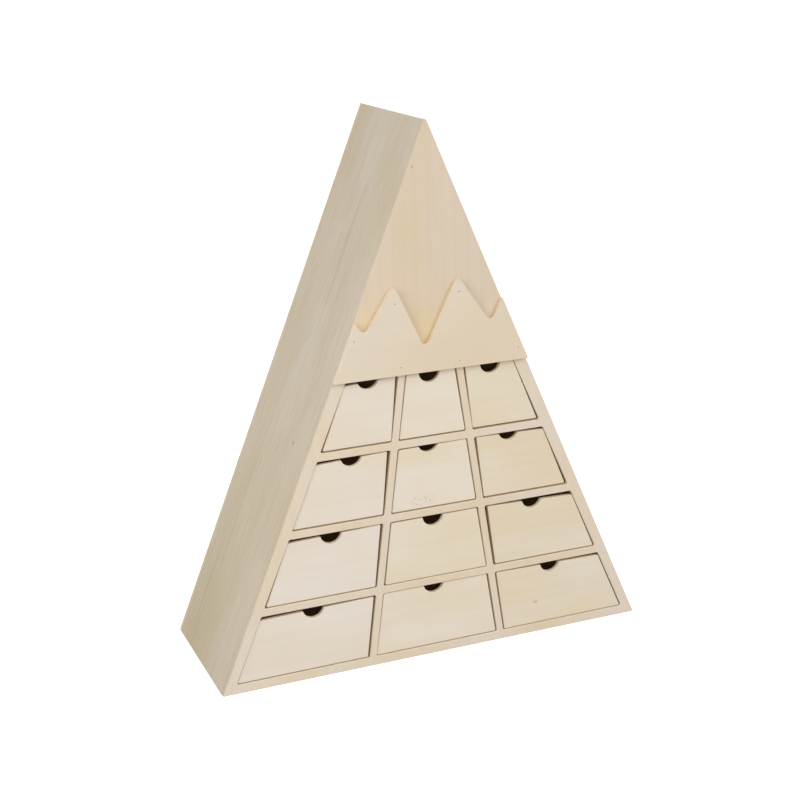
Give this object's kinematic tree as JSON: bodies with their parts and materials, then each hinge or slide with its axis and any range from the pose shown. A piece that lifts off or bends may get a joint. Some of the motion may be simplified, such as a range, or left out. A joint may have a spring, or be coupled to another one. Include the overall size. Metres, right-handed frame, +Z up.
{
  "type": "advent calendar cabinet",
  "caption": "Triangular mountain-shaped wooden cabinet with rows of small pull-out gift drawers under a zigzag mountain plate.",
  "frame": {"origin": "centre of the underside, midway between the mountain plate's face and the back panel's rear face", "axes": "+Z up to the ridge, -Y the side that the drawers open to, +X to the right of someone facing the drawers"},
  "size_m": [0.36, 0.137, 0.4264],
  "materials": {
    "front_ply": "satin",
    "mountain_ply": "satin",
    "cabinet_board": "matte",
    "back_ply": "matte",
    "drawer_front_wood": "satin",
    "tray_wood": "matte",
    "brad_steel": "dull"
  },
  "bodies": {
    "cabinet": {"base_board": "cabinet_board", "left_side_board": "cabinet_board", "right_side_board": "cabinet_board", "back_panel": "back_ply", "front_frame": "front_ply", "cap_panel": "front_ply", "mountain_plate": "mountain_ply", "shelf_1": "cabinet_board", "shelf_2": "cabinet_board", "shelf_3": "cabinet_board", "ceiling_board": "cabinet_board", "divider_left": "cabinet_board", "divider_right": "cabinet_board", "brad_plate_peak_1": "brad_steel", "brad_plate_peak_2": "brad_steel", "brad_plate_foot_1": "brad_steel", "brad_plate_foot_2": "brad_steel", "brad_plate_edge_left": "brad_steel", "brad_plate_edge_right": "brad_steel", "brad_cap": "brad_steel", "brad_side": "brad_steel"},
    "drawer_01": {"drawer_01_front": "drawer_front_wood", "drawer_01_tray": "tray_wood", "drawer_01_floor": "tray_wood"},
    "drawer_02": {"drawer_02_front": "drawer_front_wood", "drawer_02_tray": "tray_wood", "drawer_02_floor": "tray_wood"},
    "drawer_03": {"drawer_03_front": "drawer_front_wood", "drawer_03_tray": "tray_wood", "drawer_03_floor": "tray_wood"},
    "drawer_04": {"drawer_04_front": "drawer_front_wood", "drawer_04_tray": "tray_wood", "drawer_04_floor": "tray_wood"},
    "drawer_05": {"drawer_05_front": "drawer_front_wood", "drawer_05_tray": "tray_wood", "drawer_05_floor": "tray_wood"},
    "drawer_06": {"drawer_06_front": "drawer_front_wood", "drawer_06_tray": "tray_wood", "drawer_06_floor": "tray_wood"},
    "drawer_07": {"drawer_07_front": "drawer_front_wood", "drawer_07_tray": "tray_wood", "drawer_07_floor": "tray_wood"},
    "drawer_08": {"drawer_08_front": "drawer_front_wood", "drawer_08_tray": "tray_wood", "drawer_08_floor": "tray_wood"},
    "drawer_09": {"drawer_09_front": "drawer_front_wood", "drawer_09_tray": "tray_wood", "drawer_09_floor": "tray_wood"},
    "drawer_10": {"drawer_10_front": "drawer_front_wood", "drawer_10_tray": "tray_wood", "drawer_10_floor": "tray_wood"},
    "drawer_11": {"drawer_11_front": "drawer_front_wood", "drawer_11_tray": "tray_wood", "drawer_11_floor": "tray_wood"},
    "drawer_12": {"drawer_12_front": "drawer_front_wood", "drawer_12_tray": "tray_wood", "drawer_12_floor": "tray_wood"}
  },
  "joints": [
    {"name": "drawer_01_slide", "type": "slide", "parent": "cabinet", "child": "drawer_01", "axis": [0, -1, 0], "range_m": [0, 0.1]},
    {"name": "drawer_02_slide", "type": "slide", "parent": "cabinet", "child": "drawer_02", "axis": [0, -1, 0], "range_m": [0, 0.1]},
    {"name": "drawer_03_slide", "type": "slide", "parent": "cabinet", "child": "drawer_03", "axis": [0, -1, 0], "range_m": [0, 0.1]},
    {"name": "drawer_04_slide", "type": "slide", "parent": "cabinet", "child": "drawer_04", "axis": [0, -1, 0], "range_m": [0, 0.1]},
    {"name": "drawer_05_slide", "type": "slide", "parent": "cabinet", "child": "drawer_05", "axis": [0, -1, 0], "range_m": [0, 0.1]},
    {"name": "drawer_06_slide", "type": "slide", "parent": "cabinet", "child": "drawer_06", "axis": [0, -1, 0], "range_m": [0, 0.1]},
    {"name": "drawer_07_slide", "type": "slide", "parent": "cabinet", "child": "drawer_07", "axis": [0, -1, 0], "range_m": [0, 0.1]},
    {"name": "drawer_08_slide", "type": "slide", "parent": "cabinet", "child": "drawer_08", "axis": [0, -1, 0], "range_m": [0, 0.1]},
    {"name": "drawer_09_slide", "type": "slide", "parent": "cabinet", "child": "drawer_09", "axis": [0, -1, 0], "range_m": [0, 0.1]},
    {"name": "drawer_10_slide", "type": "slide", "parent": "cabinet", "child": "drawer_10", "axis": [0, -1, 0], "range_m": [0, 0.1]},
    {"name": "drawer_11_slide", "type": "slide", "parent": "cabinet", "child": "drawer_11", "axis": [0, -1, 0], "range_m": [0, 0.1]},
    {"name": "drawer_12_slide", "type": "slide", "parent": "cabinet", "child": "drawer_12", "axis": [0, -1, 0], "range_m": [0, 0.1]}
  ]
}
